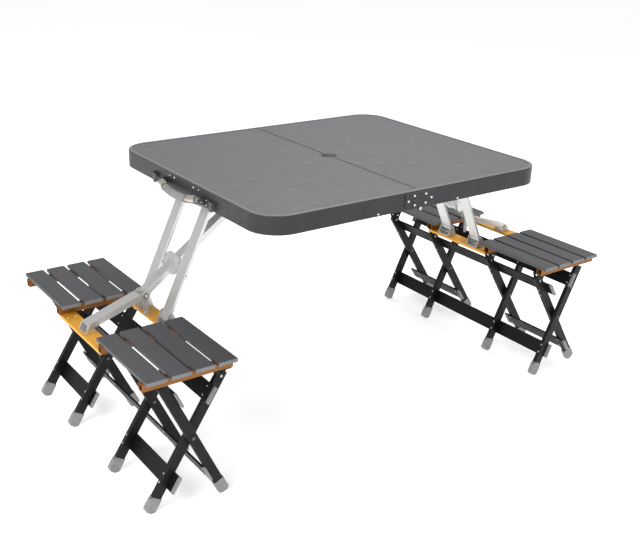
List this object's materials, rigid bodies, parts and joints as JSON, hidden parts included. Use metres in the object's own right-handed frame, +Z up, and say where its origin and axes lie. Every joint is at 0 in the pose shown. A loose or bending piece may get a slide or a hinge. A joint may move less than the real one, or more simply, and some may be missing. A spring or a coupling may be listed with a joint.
{
  "type": "folding picnic table",
  "caption": "Suitcase-style folding picnic table: hinged tray top with an umbrella hole, carried by two fold-out benches of slatted seats on crossed legs.",
  "frame": {"origin": "on the ground under the middle of the seam between the table halves", "axes": "+X along the table towards the right bench, +Y across the table, +Z up"},
  "size_m": [1.446, 0.7434, 0.66],
  "materials": {
    "rim_shell": "satin powder coat",
    "table_top": "fine textured laminate",
    "umbrella_ring": "satin",
    "plated_steel": "zinc plated",
    "grip": "soft matt",
    "brushed_frame": "satin anodised",
    "orange_rails": "satin anodised",
    "seat_slats": "matt laminate",
    "black_legs": "satin powder coat",
    "grey_feet": "moulded, matt"
  },
  "bodies": {
    "left_table_half": {"left_rim": "rim_shell", "left_top_panel": "table_top", "left_umbrella_ring": "umbrella_ring", "left_hinge_plates": "rim_shell", "left_support_brackets": "plated_steel", "left_support_pins": "plated_steel", "left_brace_keeper": "plated_steel", "case_hinge_pins": "plated_steel", "handle_mounts": "plated_steel", "latch_mounts": "plated_steel"},
    "left_support": {"left_support_frame": "brushed_frame"},
    "left_seat_frame": {"left_inner_rail": "orange_rails", "left_outer_rail": "orange_rails", "left_cross_rails": "orange_rails", "left_seat_slats": "seat_slats", "left_post_clevises": "plated_steel", "left_arm_clevis": "brushed_frame", "left_leg_brackets": "black_legs", "left_seat_pins": "plated_steel"},
    "left_outer_leg_set": {"left_outer_legs": "black_legs", "left_outer_leg_stretchers": "black_legs", "left_outer_leg_feet": "grey_feet", "left_leg_cross_bolts": "plated_steel"},
    "left_inner_leg_set": {"left_inner_legs": "black_legs", "left_inner_leg_stretchers": "black_legs", "left_inner_leg_feet": "grey_feet"},
    "left_arm": {"left_lower_arm": "brushed_frame"},
    "left_brace": {"left_upper_brace": "brushed_frame", "left_brace_pins": "plated_steel"},
    "right_table_half": {"right_rim": "rim_shell", "right_top_panel": "table_top", "right_umbrella_ring": "umbrella_ring", "right_hinge_plates": "rim_shell", "right_support_brackets": "plated_steel", "right_support_pins": "plated_steel", "right_brace_keeper": "plated_steel", "latch_catches": "plated_steel"},
    "right_support": {"right_support_frame": "brushed_frame"},
    "right_seat_frame": {"right_inner_rail": "orange_rails", "right_outer_rail": "orange_rails", "right_cross_rails": "orange_rails", "right_seat_slats": "seat_slats", "right_post_clevises": "plated_steel", "right_arm_clevis": "brushed_frame", "right_leg_brackets": "black_legs", "right_seat_pins": "plated_steel"},
    "right_outer_leg_set": {"right_outer_legs": "black_legs", "right_outer_leg_stretchers": "black_legs", "right_outer_leg_feet": "grey_feet", "right_leg_cross_bolts": "plated_steel"},
    "right_inner_leg_set": {"right_inner_legs": "black_legs", "right_inner_leg_stretchers": "black_legs", "right_inner_leg_feet": "grey_feet"},
    "right_arm": {"right_lower_arm": "brushed_frame"},
    "right_brace": {"right_upper_brace": "brushed_frame", "right_brace_pins": "plated_steel"},
    "handle": {"handle_grip": "grip"},
    "front_latch_lever": {"front_latch": "plated_steel"},
    "back_latch_lever": {"back_latch": "plated_steel"}
  },
  "joints": [
    {"name": "left_bench_fold", "type": "hinge", "parent": "left_table_half", "child": "left_support", "pos_m": [-0.38491, 0, 0.641], "axis": [0, -1, 0], "range_deg": [0, 114.7]},
    {"name": "left_seat_level", "type": "hinge", "parent": "left_support", "child": "left_seat_frame", "pos_m": [-0.52061, 0, 0.346], "axis": [0, -1, 0], "range_deg": [-114.7, 0]},
    {"name": "left_outer_leg_fold", "type": "hinge", "parent": "left_seat_frame", "child": "left_outer_leg_set", "pos_m": [-0.523, 0, 0.297], "axis": [0, -1, 0], "range_deg": [-57.26, 0]},
    {"name": "left_inner_leg_fold", "type": "hinge", "parent": "left_outer_leg_set", "child": "left_inner_leg_set", "pos_m": [-0.60467, 0, 0.17], "axis": [0, -1, 0], "range_deg": [0, 122.15]},
    {"name": "left_arm_fold", "type": "hinge", "parent": "left_seat_frame", "child": "left_arm", "pos_m": [-0.699, 0, 0.337], "axis": [0, -1, 0], "range_deg": [0, 161.33]},
    {"name": "left_brace_fold", "type": "hinge", "parent": "left_arm", "child": "left_brace", "pos_m": [-0.554, 0, 0.386], "axis": [0, -1, 0], "range_deg": [-196.93, 0]},
    {"name": "right_bench_fold", "type": "hinge", "parent": "right_table_half", "child": "right_support", "pos_m": [0.38491, 0, 0.641], "axis": [0, 1, 0], "range_deg": [0, 114.7]},
    {"name": "right_seat_level", "type": "hinge", "parent": "right_support", "child": "right_seat_frame", "pos_m": [0.52061, 0, 0.346], "axis": [0, 1, 0], "range_deg": [-114.7, 0]},
    {"name": "right_outer_leg_fold", "type": "hinge", "parent": "right_seat_frame", "child": "right_outer_leg_set", "pos_m": [0.523, 0, 0.297], "axis": [0, 1, 0], "range_deg": [-57.26, 0]},
    {"name": "right_inner_leg_fold", "type": "hinge", "parent": "right_outer_leg_set", "child": "right_inner_leg_set", "pos_m": [0.60467, 0, 0.17], "axis": [0, 1, 0], "range_deg": [0, 122.15]},
    {"name": "right_arm_fold", "type": "hinge", "parent": "right_seat_frame", "child": "right_arm", "pos_m": [0.699, 0, 0.337], "axis": [0, 1, 0], "range_deg": [0, 161.33]},
    {"name": "right_brace_fold", "type": "hinge", "parent": "right_arm", "child": "right_brace", "pos_m": [0.554, 0, 0.386], "axis": [0, 1, 0], "range_deg": [-196.93, 0]},
    {"name": "case_fold", "type": "hinge", "parent": "left_table_half", "child": "right_table_half", "pos_m": [0, 0, 0.615], "axis": [0, 1, 0], "range_deg": [0, 66]},
    {"name": "handle_swing", "type": "hinge", "parent": "left_table_half", "child": "handle", "pos_m": [-0.446, 0, 0.631], "axis": [0, 1, 0], "range_deg": [0, 110]},
    {"name": "front_latch_swing", "type": "hinge", "parent": "left_table_half", "child": "front_latch_lever", "pos_m": [-0.439, 0, 0.637], "axis": [0, 1, 0], "range_deg": [0, 110]},
    {"name": "back_latch_swing", "type": "hinge", "parent": "left_table_half", "child": "back_latch_lever", "pos_m": [-0.439, 0, 0.637], "axis": [0, 1, 0], "range_deg": [0, 110]}
  ],
  "couplings": [
    {"joint": "left_seat_level", "follows": "left_bench_fold", "ratio": -1},
    {"joint": "left_outer_leg_fold", "follows": "left_bench_fold", "ratio": -0.49916},
    {"joint": "left_inner_leg_fold", "follows": "left_bench_fold", "ratio": 1.0649},
    {"joint": "left_arm_fold", "follows": "left_bench_fold", "ratio": 1.4065},
    {"joint": "left_brace_fold", "follows": "left_bench_fold", "ratio": -1.7169},
    {"joint": "right_seat_level", "follows": "right_bench_fold", "ratio": -1},
    {"joint": "right_outer_leg_fold", "follows": "right_bench_fold", "ratio": -0.49916},
    {"joint": "right_inner_leg_fold", "follows": "right_bench_fold", "ratio": 1.0649},
    {"joint": "right_arm_fold", "follows": "right_bench_fold", "ratio": 1.4065},
    {"joint": "right_brace_fold", "follows": "right_bench_fold", "ratio": -1.7169}
  ]
}
